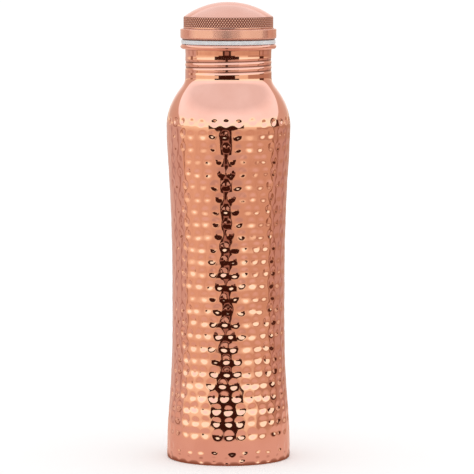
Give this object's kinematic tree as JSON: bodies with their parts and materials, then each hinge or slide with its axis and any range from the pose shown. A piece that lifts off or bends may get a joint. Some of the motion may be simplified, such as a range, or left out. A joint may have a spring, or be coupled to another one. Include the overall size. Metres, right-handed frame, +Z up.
{
  "type": "copper water bottle",
  "caption": "Waisted hammered copper water bottle with a neck threaded inside, a silicone gasket and a domed screw cap with a knurled grip band.",
  "frame": {"origin": "centre of the foot, on the surface the bottle stands on", "axes": "+Z up along the bottle's axis of revolution; X and Y are equivalent, apart from where the thread starts"},
  "size_m": [0.075, 0.075, 0.2772],
  "materials": {
    "hammered_copper": "polished",
    "cap_copper": "polished",
    "plain_copper": "satin",
    "silicone": "satin"
  },
  "bodies": {
    "bottle": {"body_shell": "hammered_copper", "base_disc": "plain_copper"},
    "gasket": {"gasket": "silicone"},
    "cap": {"thread_plug": "plain_copper", "cap_collar": "cap_copper", "cap_crown": "cap_copper"}
  },
  "joints": [
    {"name": "cap_rise", "type": "slide", "parent": "bottle", "child": "gasket", "axis": [0, 0, 1], "range_m": [0, 0.0186]},
    {"name": "cap_turn", "type": "hinge", "parent": "gasket", "child": "cap", "pos_m": [0, 0, 0.2544], "axis": [0, 0, 1], "range_deg": [0, 2160]}
  ],
  "couplings": [
    {"joint": "cap_rise", "follows": "cap_turn", "m_per_rad": 0.00049338}
  ]
}
